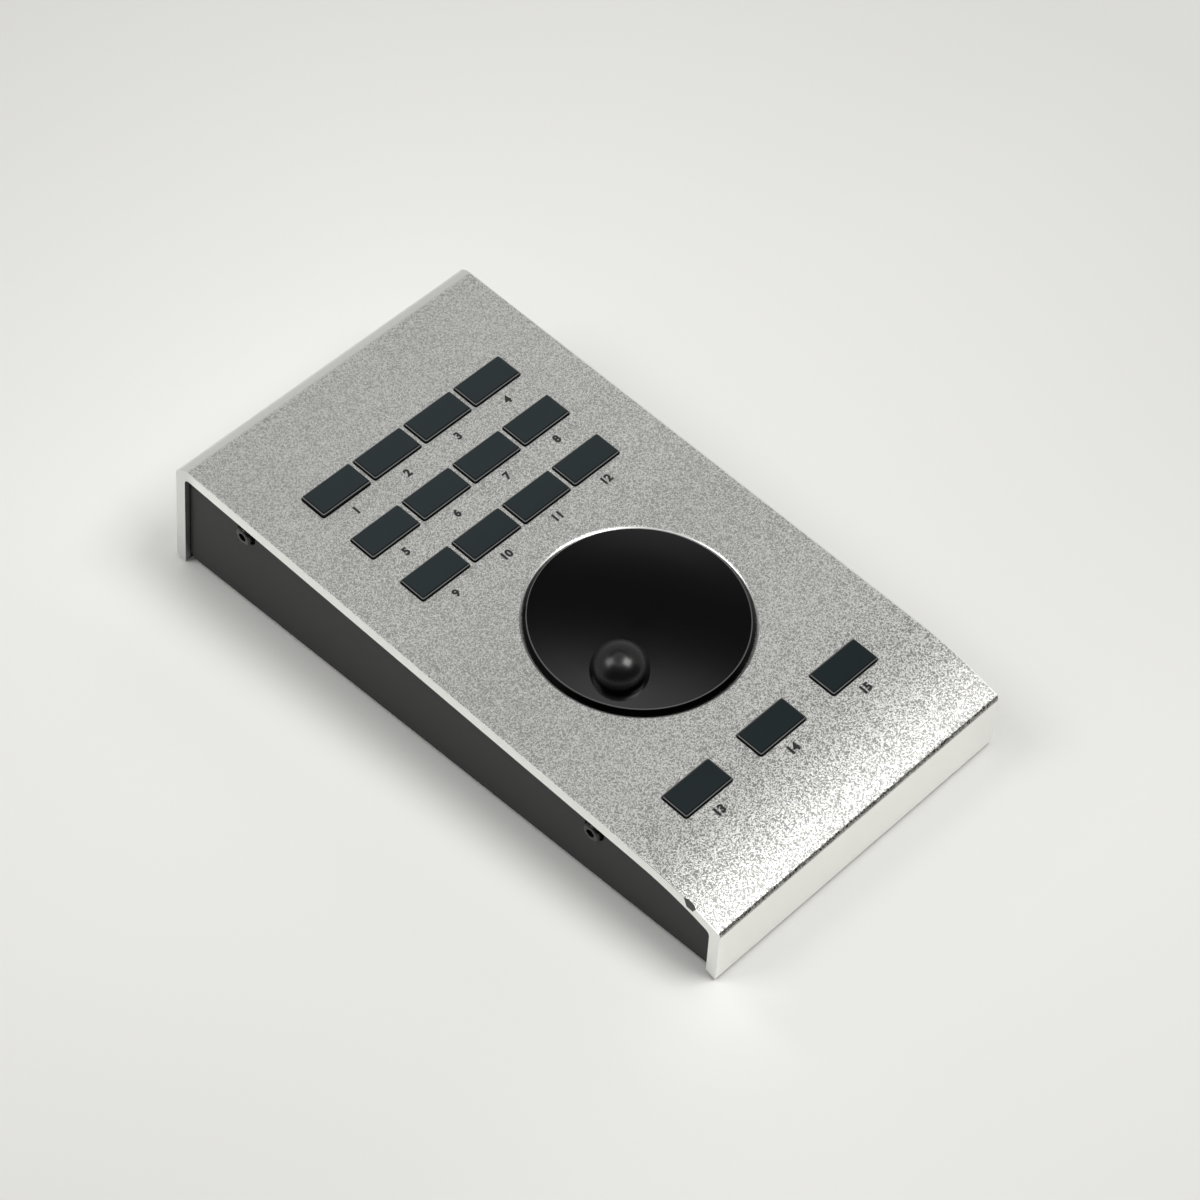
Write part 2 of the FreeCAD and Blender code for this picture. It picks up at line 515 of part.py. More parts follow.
# 6.35 mm foot switch jack: body behind the wall, threaded nose through it, washer and nut outside
jb = rprism(0, 0, -3.5 - 21.0, -3.5, 14.0, 14.0, 1.0).fuse(cyl(0, 0, -3.6, 2.6, 4.75)).removeSplitter()
jb = jb.cut(cyl(0, 0, -22.5, 4.0, 3.2)).cut(Part.makeCone(3.2, 3.7, 0.5, V(0, 0, 2.1), V(0, 0, 1)))
jb = jb.cut(box(-1.2, 1.2, 3.0, 6.0, -18.0, -9.0))
nodes["footswitch_jack"] = walled(jb)
nodes["jack_washer"] = walled(cyl(0, 0, 0.0, 0.4, 7.2).cut(cyl(0, 0, -1, 3, 4.8)))
jn = hexa(0, 0, 0.4, 2.2, 12.7, 30)
jn = jn.common(Part.makeCone(8.0, 6.6, 2.0, V(0, 0, 0.4), V(0, 0, 1))).cut(cyl(0, 0, -1, 4, 4.78))
nodes["jack_nut"] = walled(jn)
ct = box(-1.0, 1.0, 4.2, 4.6, -17.5, -9.5)
nodes["jack_contact"] = walled(ct)

# ---------------------------------------------------------------- flat cable between the two boards
CW = 12.0
cu = box(-7.5, 7.5, 150.0, 155.0, BOARD_N - BOARD_T - 2.6, BOARD_N - BOARD_T)
cu = cu.cut(box(-6.1, 6.1, 149.0, 153.5, BOARD_N - BOARD_T - 1.55, BOARD_N - BOARD_T - 1.15))
nodes["flex_connector_upper"] = tilted(cu)
cl = box(-7.5, 7.5, 160.0, 165.0, ZT, ZT + 2.6)
cl = cl.cut(box(-6.1, 6.1, 159.0, 163.5, ZT + 1.1, ZT + 1.5))
nodes["flex_connector_lower"] = level(cl)
ay, az = yz(153.0, BOARD_N - BOARD_T - 1.35)
by, bz = 163.0, ZT + 1.3
ctrl = [(ay, az), (ay - 24.0 * CS, az - 24.0 * SN), (by - 34.0, bz), (by, bz)]
N = 28
mid = []
for i in range(N + 1):
    t = i / N
    c = [(1 - t) ** 3, 3 * t * (1 - t) ** 2, 3 * t * t * (1 - t), t ** 3]
    d = [-(1 - t) ** 2, (1 - t) ** 2 - 2 * t * (1 - t), 2 * t * (1 - t) - t * t, t * t]
    y = sum(k * q[0] for k, q in zip(c, ctrl)); z = sum(k * q[1] for k, q in zip(c, ctrl))
    dy = sum(k * q[0] for k, q in zip(d, ctrl)); dz = sum(k * q[1] for k, q in zip(d, ctrl))
    l = math.hypot(dy, dz)
    mid.append((y, z, -dz / l, dy / l))
ht = 0.13
poly = [V(-CW / 2, y + nx * ht, z + nz * ht) for y, z, nx, nz in mid] + [V(-CW / 2, y - nx * ht, z - nz * ht) for y, z, nx, nz in reversed(mid)]
poly.append(poly[0])
nodes["flex_cable"] = level(Part.Face(Part.makePolygon(poly)).extrude(V(CW, 0, 0)))

# ---------------------------------------------------------------- write, with the origin under the middle of the whole box
whole = None
for shp in nodes.values():
    bb = shp.BoundBox
    whole = bb if whole is None else whole.united(bb)
DY = -0.5 * (whole.YMin + whole.YMax)
allb = None
for name in list(nodes):
    nodes[name] = nodes[name].copy()
    nodes[name].translate(V(0, DY, 0))
for name, shp in nodes.items():
    assert shp.isValid(), name
    for sol in shp.Solids:
        assert sol.Volume > 0, name
    shp.exportStep("parts/" + name + ".step")
    bb = shp.BoundBox
    allb = bb if allb is None else allb.united(bb)
    print("%-24s solids %2d  vol %9.2f  x %7.2f %7.2f  y %8.2f %8.2f  z %6.2f %6.2f" % (name, len(shp.Solids), shp.Volume, bb.XMin, bb.XMax, bb.YMin, bb.YMax, bb.ZMin, bb.ZMax))
print("nodes", len(nodes), "box", round(allb.XMin, 2), round(allb.XMax, 2), round(allb.YMin, 2), round(allb.YMax, 2), round(allb.ZMin, 2), round(allb.ZMax, 2))
def at(s_, n_):
    y, z = yz(s_, n_)
    return round(y - Y_MID + DY, 4), round(z, 4)
print("frame: y =", round(-Y_MID + DY, 5), "z =", round(-Z_GROUND, 5))
print("wheel axis point", 0, *at(WHEEL_S, 0), "normal", 0, round(-SN, 6), round(CS, 6))
print("jack wall point", JACK_X, round(JY - Y_MID + DY, 4), round(JZ, 4), "normal", round(JNY, 6), round(JNZ, 6))
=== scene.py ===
import json
import math

import bpy
from mathutils import Matrix, Vector


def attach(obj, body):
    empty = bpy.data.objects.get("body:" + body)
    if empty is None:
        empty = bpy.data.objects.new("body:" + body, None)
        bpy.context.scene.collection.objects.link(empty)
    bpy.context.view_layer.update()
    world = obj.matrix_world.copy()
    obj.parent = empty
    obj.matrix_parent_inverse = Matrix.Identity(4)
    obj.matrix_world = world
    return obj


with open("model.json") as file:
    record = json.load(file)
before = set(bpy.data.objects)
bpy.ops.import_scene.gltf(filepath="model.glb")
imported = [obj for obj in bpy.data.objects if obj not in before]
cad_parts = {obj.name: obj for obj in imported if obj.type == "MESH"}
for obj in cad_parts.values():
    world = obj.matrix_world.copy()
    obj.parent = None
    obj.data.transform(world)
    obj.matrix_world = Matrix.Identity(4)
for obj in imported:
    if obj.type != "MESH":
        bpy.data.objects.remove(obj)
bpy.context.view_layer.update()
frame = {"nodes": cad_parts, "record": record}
NODES = frame["nodes"]
scene = bpy.context.scene

# ---------------------------------------------------------------- the sloping face
# A point of the face is (x, s, n): across, up the slope from the front edge, and out of the face, in mm.
TILT = math.radians(4.65)
SN, CS = math.sin(TILT), math.cos(TILT)
FACE_TURN = Matrix.Rotation(TILT, 4, "X")


def face(x, s, n=0.0):
    return Vector((x, s * CS - n * SN - 103.33465, s * SN + n * CS + 25.34558)) * 0.001


KEY_X = [-28.0, -9.335, 9.335, 28.0]
KEYS = [(x, s) for s in (164.6, 145.6, 126.6) for x in KEY_X] + [(x, 32.2) for x in (-27.4, 0.0, 27.4)]


# ---------------------------------------------------------------- material graphs
class Graph:
    """One material, with short calls to add nodes. Textures are in object coordinates, in mm."""

    def __init__(self, name, mm=True):
        self.m = bpy.data.materials.new(name)
        self.m.use_nodes = True
        self.t = self.m.node_tree
        self.t.nodes.clear()
        self.out = self.t.nodes.new("ShaderNodeOutputMaterial")
        self.p = self.t.nodes.new("ShaderNodeBsdfPrincipled")
        self.t.links.new(self.p.outputs[0], self.out.inputs[0])
        tc = self.t.nodes.new("ShaderNodeTexCoord")
        self.tc = tc
        mp = self.t.nodes.new("ShaderNodeMapping")
        mp.inputs["Scale"].default_value = (1000.0, 1000.0, 1000.0)
        self.t.links.new(tc.outputs["Object"], mp.inputs["Vector"])
        self.co = mp.outputs[0]
        self.normal = tc.outputs["Normal"]

    def put(self, socket, value):
        if isinstance(value, bpy.types.NodeSocket):
            self.t.links.new(value, socket)
        elif isinstance(value, (tuple, list)) and len(value) == 3 and socket.type == "RGBA":
            socket.default_value = (*value, 1.0)
        else:
            socket.default_value = value

    def set(self, **values):
        for key, value in values.items():
            self.put(self.p.inputs[key.replace("_", " ")], value)
        return self

    def noise(self, scale, detail=2.0, rough=0.5, co=None, distortion=0.0, lacunarity=2.0):
        n = self.t.nodes.new("ShaderNodeTexNoise")
        n.inputs["Scale"].default_value = scale
        n.inputs["Detail"].default_value = detail
        n.inputs["Roughness"].default_value = rough
        n.inputs["Lacunarity"].default_value = lacunarity
        n.inputs["Distortion"].default_value = distortion
        self.t.links.new(co or self.co, n.inputs["Vector"])
        return n.outputs[0]

    def cells(self, scale, feature="F1", co=None, out="Distance"):
        n = self.t.nodes.new("ShaderNodeTexVoronoi")
        n.feature = feature
        n.inputs["Scale"].default_value = scale
        self.t.links.new(co or self.co, n.inputs["Vector"])
        return n.outputs[out]

    def math(self, op, a, b=None, c=None, clamp=False):
        n = self.t.nodes.new("ShaderNodeMath")
        n.operation = op
        n.use_clamp = clamp
        for i, v in enumerate((a, b, c)):
            if v is not None:
                self.put(n.inputs[i], v)
        return n.outputs[0]

    def ramp(self, value, lo, hi, to_lo=0.0, to_hi=1.0, smooth=True):
        n = self.t.nodes.new("ShaderNodeMapRange")
        n.interpolation_type = "SMOOTHSTEP" if smooth else "LINEAR"
        self.put(n.inputs["Value"], value)
        n.inputs["From Min"].default_value = lo
        n.inputs["From Max"].default_value = hi
        n.inputs["To Min"].default_value = to_lo
        n.inputs["To Max"].default_value = to_hi
        return n.outputs["Result"]

    def mix(self, factor, a, b):
        n = self.t.nodes.new("ShaderNodeMix")
        n.data_type = "RGBA"
        self.put(n.inputs[0], factor)
        self.put(n.inputs[6], a)
        self.put(n.inputs[7], b)
        return n.outputs[2]

    def blend(self, factor, a, b):
        n = self.t.nodes.new("ShaderNodeMix")
        n.data_type = "FLOAT"
        self.put(n.inputs[0], factor)
        self.put(n.inputs[2], a)
        self.put(n.inputs[3], b)
        return n.outputs[0]

    def split(self, vector):
        n = self.t.nodes.new("ShaderNodeSeparateXYZ")
        self.t.links.new(vector, n.inputs[0])
        return n.outputs[0], n.outputs[1], n.outputs[2]

    def along(self):
        """Coordinates on the sloping face, in mm: s up the slope, n out of the face."""
        _, y, z = self.split(self.co)
        y = self.math("ADD", y, 103.33465)
        z = self.math("SUBTRACT", z, 25.34558)
        s = self.math("ADD", self.math("MULTIPLY", y, CS), self.math("MULTIPLY", z, SN))
        n = self.math("SUBTRACT", self.math("MULTIPLY", z, CS), self.math("MULTIPLY", y, SN))
        return s, n

    def facing(self):
        """How far the surface faces out of the sloping face: 1 on it, 0 on a wall, -1 underneath."""
        _, y, z = self.split(self.normal)
        return self.math("SUBTRACT", self.math("MULTIPLY", z, CS), self.math("MULTIPLY", y, SN))

    def both(self, *masks):
        out = masks[0]
        for m in masks[1:]:
            out = self.math("MULTIPLY", out, m)
        return out

    def stretch(self, x, y, z):
        n = self.t.nodes.new("ShaderNodeMapping")
        n.inputs["Scale"].default_value = (1000.0 * x, 1000.0 * y, 1000.0 * z)
        self.t.links.new(self.tc.outputs["Object"], n.inputs["Vector"])
        return n.outputs[0]

    def bump(self, height, strength, mm, under=None):
        n = self.t.nodes.new("ShaderNodeBump")
        self.put(n.inputs["Strength"], strength)
        n.inputs["Distance"].default_value = mm * 0.001
        self.put(n.inputs["Height"], height)
        if under is not None:
            self.t.links.new(under, n.inputs["Normal"])
        self.t.links.new(n.outputs[0], self.p.inputs["Normal"])
        return n.outputs[0]


def wear(*names, graph):
    for n in names:
        o = NODES[n]
        if o.material_slots:
            for s in o.material_slots:
                s.material = graph.m
        else:
            o.data.materials.append(graph.m)


# Blasted aluminium cover: a coarse bright and dark grain on the worked faces, smooth bright cut edges.
g = Graph("blasted_aluminium")
nx, ny, nz = g.split(g.normal)
px, py, pz = g.split(g.co)
cs_, cn = g.along()
up = g.facing()
ax = g.math("ABSOLUTE", px)
curls = g.noise(1.35, 2.0, 0.55, distortion=0.6)
ridge = g.ramp(g.math("ABSOLUTE", g.math("SUBTRACT", curls, 0.5)), 0.015, 0.100, 1.0, 0.0)
fine = g.noise(3.5, 1.0, 0.5)
grain = g.math("ADD", g.math("MULTIPLY", ridge, 0.50), g.math("MULTIPLY", fine, 0.50))
speck = g.blend(g.ramp(cs_, 30.0, 85.0, 1.0, 0.0), g.ramp(grain, 0.32, 0.84), g.ramp(grain, 0.28, 0.72))   # harder grain contrast towards the front: painted sparkle where the highlight falls on the nose
# softer grain contrast towards the rear: painted sparkle, weaker where no highlight falls
speck = g.blend(g.ramp(cs_, 125.0, 185.0), speck, g.ramp(grain, 0.14, 1.02))
nose = g.ramp(cs_, 8.0, 62.0, 1.0, 0.0)
round_ = g.math("SQRT", g.math("ADD", g.math("POWER", px, 2.0), g.math("POWER", g.math("SUBTRACT", cs_, 79.3), 2.0)))
bevel = g.both(g.ramp(round_, 30.70, 30.78), g.ramp(round_, 31.33, 31.38, 1.0, 0.0), g.ramp(cn, -0.36, -0.34))   # around the wheel
lip = g.both(bevel, g.ramp(round_, 31.04, 31.12, 1.0, 0.0))
ragged = g.math("ADD", ax, g.math("MULTIPLY", g.noise(0.9, 3.0, 0.7), 0.50))
worked = g.both(                                                  # top and nose, up to the rear radius and the sawn edges
    g.ramp(up, 0.80, 0.90),
    g.ramp(cs_, 195.9, 197.2, 1.0, 0.0),
    g.ramp(ragged, 52.50, 52.62, 1.0, 0.0),
    g.math("SUBTRACT", 1.0, g.math("MULTIPLY", lip, 0.8)),
)
worked = g.math("MAXIMUM", worked, g.math("SUBTRACT", bevel, lip))
torn = g.math("ADD", cs_, g.math("MULTIPLY", g.noise(1.7, 3.0, 0.75), 2.0))
fold_dark_reflection = g.both(                                                    # the dark, gritty line where the nose meets the front wall: a painted dark reflection in the fold
    g.ramp(torn, 1.40, 1.95, 1.0, 0.0),
    g.ramp(cn, -6.6, -5.2),
    g.ramp(ax, 52.30, 52.42, 1.0, 0.0),
    g.ramp(cs_, -0.6, -0.2),
    g.ramp(g.math("ADD", up, g.math("MULTIPLY", ny, -1.0)), 0.2, 0.5),
)
# the undersides and inner faces of the cover, which get painted shade below
wall_back = g.both(g.ramp(ny, -0.75, -0.45, 1.0, 0.0), g.ramp(cs_, 188.0, 190.0))
wall_front = g.both(g.ramp(ny, 0.45, 0.75), g.ramp(cs_, 8.0, 10.0, 1.0, 0.0))
painted_shade_inside = g.math("MAXIMUM", g.ramp(up, -0.5, -0.2, 1.0, 0.0), g.math("MAXIMUM", wall_back, wall_front), clamp=True)
# a small dent in the left edge near the front, its inside painted dark as painted shade
dent_shade = g.both(g.ramp(nx, -0.5, -0.3, 1.0, 0.0), g.ramp(px, -52.495, -52.46), g.ramp(px, -51.0, -50.5, 1.0, 0.0), g.ramp(cs_, 15.0, 16.0, 1.0, 0.0))
# a dark line along the top of the left edge near the front: painted shadow of a burr
burr_shadow = g.both(g.ramp(px, -52.40, -52.34, 1.0, 0.0), g.ramp(up, 0.7, 0.8), g.ramp(cs_, 12.0, 12.6), g.ramp(g.math("ADD", cs_, g.math("MULTIPLY", fine, 40.0)), 44.0, 56.0, 1.0, 0.0))
front = g.both(g.ramp(ny, -0.9, -0.7, 1.0, 0.0), g.ramp(cs_, 1.5, 2.5, 1.0, 0.0))
cloud = g.noise(0.045, 3.0, 0.5)
# painted highlight: the dark grain is lifted along the front edge
front_edge_highlight = g.ramp(cs_, 1.0, 20.0, 1.0, 0.0)
# on the nose the grain's dark tone is darker and its light tone lighter: painted sparkle of the highlight
dark = g.mix(nose, g.mix(cloud, (0.370, 0.375, 0.362), (0.405, 0.410, 0.396)), (0.260, 0.262, 0.252))
dark = g.mix(front_edge_highlight, dark, (0.34, 0.34, 0.329))
light = g.mix(nose, g.mix(cloud, (0.88, 0.88, 0.857), (0.93, 0.93, 0.906)), (0.94, 0.94, 0.915))
grainy = g.mix(speck, dark, light)
# painted light and shade: the grain's tone is scaled down towards the front, up towards the rear and the right, and up
# again on the nose
painted_light_scale = g.math("MULTIPLY", g.ramp(cs_, 85.0, 130.0, 0.93, 1.03), g.math("ADD", 1.0, g.math("MULTIPLY", px, 0.0008)))
painted_light_scale = g.math("ADD", painted_light_scale, g.math("MULTIPLY", nose, 0.07))
shaded = g.t.nodes.new("ShaderNodeVectorMath")
shaded.operation = "SCALE"
g.put(shaded.inputs[0], grainy)
g.put(shaded.inputs["Scale"], painted_light_scale)
grainy = shaded.outputs[0]
brushed = g.noise(6.0, 2.0, 0.6, co=g.stretch(1, 0.05, 0.05))
plain = g.mix(brushed, (0.93, 0.935, 0.910), (0.98, 0.985, 0.960))
# painted reflection: the front wall's plain colour is lifted, as the floor it faces is reflected in it
plain = g.mix(front, plain, g.mix(cloud, (0.955, 0.960, 0.925), (0.985, 0.990, 0.955)))
tail = g.both(g.ramp(nx, -0.9, -0.7, 1.0, 0.0), g.ramp(cs_, 192.0, 197.0))
plain = g.mix(tail, plain, g.mix(brushed, (0.73, 0.735, 0.715), (0.79, 0.795, 0.775)))
colour = g.mix(worked, plain, grainy)
# painted dark reflection along the fold
colour = g.mix(fold_dark_reflection, colour, g.mix(speck, (0.030, 0.029, 0.026), (0.44, 0.435, 0.412)))
# painted shadow of the burr along the left edge
colour = g.mix(burr_shadow, colour, (0.030, 0.028, 0.026))
# painted shade: the inside of the dent is dark
colour = g.mix(dent_shade, colour, g.mix(fine, (0.040, 0.040, 0.041), (0.150, 0.149, 0.148)))
# painted shade: the undersides and inner faces are near black
colour = g.mix(painted_shade_inside, colour, g.mix(cloud, (0.040, 0.040, 0.040), (0.055, 0.055, 0.054)))
# painted shade, lighter: the inner face of the rear wall is mid grey near its open edge
colour = g.mix(g.both(wall_back, g.ramp(ax, 50.7, 50.9)), colour, g.mix(fine, (0.32, 0.32, 0.322), (0.42, 0.42, 0.422)))
g.set(
    Base_Color=colour,
    Metallic=0.86,
    Roughness=g.blend(lip, g.blend(worked, 0.40, g.math("SUBTRACT", g.ramp(speck, 0.0, 1.0, 0.52, 0.40), g.math("MULTIPLY", nose, 0.08))), 0.30),
)
g.bump(g.blend(worked, g.math("MULTIPLY", brushed, 0.05), g.math("MULTIPLY", grain, g.math("ADD", 1.0, g.math("MULTIPLY", nose, 0.2)))), 0.85, 0.050)
wear("top_cover", graph=g)

# Charcoal paint on the chassis: even, matt, with a very fine powder texture.
g = Graph("charcoal_paint")
tone = g.noise(0.06, 3.0, 0.55)
powder = g.noise(5.5, 3.0, 0.65)
ps, pn = g.along()
rear_edge = g.ramp(g.math("ADD", ps, g.math("MULTIPLY", pn, 0.055)), 196.99 - 0.9, 196.99 - 0.7)   # in the shade of the rear wall
g.set(
    Base_Color=g.mix(rear_edge, g.mix(tone, (0.0230, 0.0230, 0.0238), (0.0275, 0.0275, 0.0282)), (0.0030, 0.0030, 0.0031)),
    Roughness=g.ramp(powder, 0.3, 0.7, 0.56, 0.70),
    Specular_IOR_Level=0.42,
)
g.bump(powder, 0.22, 0.03)
wear("side_panel_left", "side_panel_right", "base_plate", graph=g)

# Black screws with a slight brown sheen from the oxide.
g = Graph("black_steel")
g.set(
    Base_Color=g.mix(g.noise(1.2, 3.0, 0.6), (0.030, 0.030, 0.032), (0.064, 0.062, 0.060)),
    Metallic=0.85,
    Roughness=g.ramp(g.noise(2.5, 2.0, 0.6), 0.3, 0.7, 0.20, 0.32),
)
g.bump(g.noise(7.0, 2.0, 0.6), 0.2, 0.02)
wear("base_screws", "side_screws", graph=g)

# Rubber feet: dull, dusty, faintly mottled.
g = Graph("foot_rubber")
g.set(
    Base_Color=g.mix(g.ramp(g.noise(0.6, 4.0, 0.7), 0.35, 0.75), (0.016, 0.016, 0.016), (0.045, 0.044, 0.042)),
    Roughness=g.ramp(g.noise(3.0, 2.0, 0.5), 0.3, 0.7, 0.78, 0.92),
    Specular_IOR_Level=0.3,
)
g.bump(g.noise(4.0, 3.0, 0.6), 0.35, 0.04)
wear("rubber_feet", graph=g)

# Key caps: dark smoked plastic with a blue-green cast, satin on top, glossier on the flanks, whose colour is near black
# as painted shade.
def key_plastic(name, crest, keys):
    """crest: height of these caps over the face, mm. A painted highlight runs pale along their front and left edges."""
    g = Graph(name)
    ux, uy, _ = g.split(g.normal)
    up = g.facing()
    ks, kn = g.along()
    top = g.ramp(up, 0.90, 0.985)
    side = g.ramp(g.math("MULTIPLY", g.math("ADD", ux, uy), -1.0), 0.15, 0.45)
    # painted highlight: a pale stripe on the bevel along the front and left edges
    bevel_highlight = g.both(
        g.ramp(up, 0.40, 0.60), g.ramp(up, 0.80, 0.92, 1.0, 0.0), side,
        g.ramp(kn, crest - 0.31, crest - 0.23, 1.0, 0.0),
    )
    satin = g.noise(9.0, 2.0, 0.55)
    cloud = g.noise(0.10, 2.0, 0.5)
    low = g.mix(cloud, (0.0118, 0.0183, 0.0203), (0.0142, 0.0212, 0.0232))
    high = g.mix(cloud, (0.0245, 0.0330, 0.0365), (0.0280, 0.0370, 0.0405))
    face_tone = g.mix(g.ramp(ks, 60.0, 150.0), low, high)
    # painted shade: every face but the top is near black
    colour = g.mix(top, (0.0030, 0.0036, 0.0038), face_tone)
    g.set(
        Base_Color=g.mix(bevel_highlight, colour, (0.210, 0.220, 0.222)),
        Roughness=g.blend(top, 0.34, g.ramp(satin, 0.3, 0.7, 0.17, 0.22)),
        Specular_IOR_Level=0.32,
    )
    g.bump(satin, 0.05, 0.01)
    wear(*keys, graph=g)


key_plastic("key_plastic_proud", 1.35, ["key_01"])
key_plastic("key_plastic", 1.0, [f"key_{i:02d}" for i in range(2, 16)])

# Wheel: satin black plastic, turned, so its fine grain runs in circles about its axis.
g = Graph("wheel_black")
wx, wy, wz = g.split(g.co)
radius = g.math("SQRT", g.math("ADD", g.math("POWER", wx, 2.0), g.math("POWER", g.math("DIVIDE", g.math("ADD", wy, 24.2957), CS), 2.0)))
rings = g.t.nodes.new("ShaderNodeTexNoise")
rings.noise_dimensions = "1D"
rings.inputs["Scale"].default_value = 4.0
rings.inputs["Detail"].default_value = 3.0
g.t.links.new(radius, rings.inputs["W"])
mist = g.noise(6.5, 3.0, 0.6)
edge_highlight = g.both(g.ramp(radius, 29.20, 29.30), g.ramp(radius, 29.48, 29.56, 1.0, 0.0), g.ramp(g.facing(), 0.3, 0.5))   # painted highlight along the edge of the face
g.set(
    Base_Color=g.mix(edge_highlight, g.mix(g.noise(0.08, 3.0, 0.5), (0.0010, 0.0010, 0.0012), (0.0017, 0.0017, 0.0020)), (0.105, 0.105, 0.105)),
    Metallic=g.math("MULTIPLY", g.ramp(radius, 29.54, 29.62), 0.88),   # the cut flank: black, with next to no gloss
    Roughness=g.ramp(g.math("ADD", g.math("MULTIPLY", rings.outputs[0], 0.4), g.math("MULTIPLY", mist, 0.6)), 0.3, 0.7, 0.11, 0.145),
    Specular_IOR_Level=0.80,
)
g.bump(mist, 0.03, 0.008)
wear("jog_wheel", graph=g)

# Finger dome: the same black, smoother from use.
g = Graph("dome_black")
touch = g.noise(1.1, 4.0, 0.65)
_, dome_n = g.along()                                              # duller and darker low down: painted shade, hiding the reflection of the cover there
g.set(
    Base_Color=g.mix(touch, (0.0022, 0.0022, 0.0025), (0.0040, 0.0040, 0.0044)),
    Metallic=g.ramp(dome_n, 3.2, 6.2, 0.85, 0.0),
    Roughness=g.ramp(touch, 0.3, 0.7, 0.265, 0.285),
    Specular_IOR_Level=0.55,
)
g.bump(g.noise(8.0, 2.0, 0.6), 0.05, 0.01)
wear("finger_dome", graph=g)

# Moulded black plastic of the sockets, switches, connectors and the encoder.
g = Graph("black_plastic")
g.set(
    Base_Color=g.mix(g.noise(0.5, 3.0, 0.6), (0.012, 0.012, 0.013), (0.021, 0.021, 0.022)),
    Roughness=g.ramp(g.noise(4.0, 3.0, 0.6), 0.3, 0.7, 0.42, 0.58),
)
g.bump(g.noise(9.0, 2.0, 0.6), 0.2, 0.015)
BLACK = g

# Bright plated metal.
g = Graph("nickel")
g.set(
    Base_Color=g.mix(g.noise(0.7, 3.0, 0.6), (0.62, 0.60, 0.56), (0.74, 0.72, 0.67)),
    Metallic=1.0,
    Roughness=g.ramp(g.noise(1.6, 4.0, 0.7), 0.3, 0.7, 0.16, 0.30),
)
g.bump(g.noise(3.0, 2.0, 0.5, co=g.stretch(1, 0.1, 1)), 0.10, 0.01)
NICKEL = g

# Bare turned and stamped steel.
g = Graph("bare_steel")
lines = g.noise(2.0, 4.0, 0.6, co=g.stretch(0.3, 0.3, 5.0))
g.set(
    Base_Color=g.mix(g.noise(0.4, 3.0, 0.6), (0.42, 0.42, 0.43), (0.54, 0.54, 0.545)),
    Metallic=1.0,
    Roughness=g.ramp(lines, 0.3, 0.7, 0.26, 0.42),
)
g.bump(lines, 0.12, 0.015)
STEEL = g

g = Graph("brass")
g.set(
    Base_Color=g.mix(g.noise(0.6, 4.0, 0.65), (0.55, 0.38, 0.15), (0.72, 0.53, 0.24)),
    Metallic=1.0,
    Roughness=g.ramp(g.noise(2.2, 3.0, 0.6), 0.3, 0.7, 0.20, 0.36),
)
g.bump(g.noise(5.0, 2.0, 0.5), 0.12, 0.012)
BRASS = g

g = Graph("cream_plastic")
g.set(
    Base_Color=g.mix(g.noise(0.4, 3.0, 0.6), (0.62, 0.58, 0.46), (0.72, 0.68, 0.55)),
    Roughness=g.ramp(g.noise(3.0, 2.0, 0.5), 0.3, 0.7, 0.40, 0.52),
)
g.bump(g.noise(8.0, 2.0, 0.5), 0.15, 0.012)
CREAM = g

# Circuit boards: green lacquer over copper tracks, which show as a lighter, raised pattern.
g = Graph("board_green")
bx, by, bz = g.split(g.co)
grid = g.cells(0.34, feature="DISTANCE_TO_EDGE")
track = g.ramp(grid, 0.10, 0.16, 1.0, 0.0)
pads = g.ramp(g.cells(0.27), 0.16, 0.22, 1.0, 0.0)
copper = g.math("MAXIMUM", track, pads, clamp=True)
g.set(
    Base_Color=g.mix(copper, g.mix(g.noise(0.2, 2.0, 0.5), (0.006, 0.055, 0.022), (0.010, 0.070, 0.030)), (0.030, 0.145, 0.060)),
    Roughness=g.ramp(g.noise(2.0, 2.0, 0.5), 0.3, 0.7, 0.24, 0.34),
)
g.bump(copper, 0.4, 0.04)
wear("key_board", "main_board", graph=g)

# Frosted lamps under the keys.
g = Graph("led_white")
g.set(
    Base_Color=g.mix(g.noise(1.0, 2.0, 0.5), (0.78, 0.78, 0.74), (0.88, 0.88, 0.85)),
    Roughness=g.ramp(g.noise(4.0, 2.0, 0.5), 0.3, 0.7, 0.36, 0.50),
    Subsurface_Weight=0.2,
    Subsurface_Scale=0.0006,
)
g.bump(g.noise(7.0, 2.0, 0.5), 0.1, 0.01)
wear("key_leds", graph=g)

# Flat ribbon: amber film with the conductors showing along it.
g = Graph("flex_film")
fx, fy, fz = g.split(g.co)
stripe = g.math("ABSOLUTE", g.math("SUBTRACT", g.math("FRACT", g.math("MULTIPLY", fx, 1.0)), 0.5))
wire = g.ramp(stripe, 0.20, 0.28, 1.0, 0.0)
g.set(
    Base_Color=g.mix(wire, g.mix(g.noise(0.3, 2.0, 0.5), (0.42, 0.17, 0.03), (0.50, 0.22, 0.05)), (0.62, 0.36, 0.14)),
    Roughness=g.ramp(g.noise(2.0, 2.0, 0.5), 0.3, 0.7, 0.28, 0.40),
)
g.bump(wire, 0.25, 0.03)
wear("flex_cable", graph=g)

BY_SLOT = {
    "black_plastic": BLACK, "nickel": NICKEL, "bare_steel": STEEL, "brass": BRASS, "cream_plastic": CREAM,
}
done = {
    "top_cover", "side_panel_left", "side_panel_right", "base_plate", "base_screws", "side_screws", "rubber_feet",
    "jog_wheel", "finger_dome", "key_board", "main_board", "key_leds", "flex_cable",
} | {f"key_{i:02d}" for i in range(1, 16)}
slot_of = {p["node"]: p["material_slot"] for p in frame["record"]["subparts"]}
for name in NODES:
    if name not in done:
        wear(name, graph=BY_SLOT[slot_of[name]])

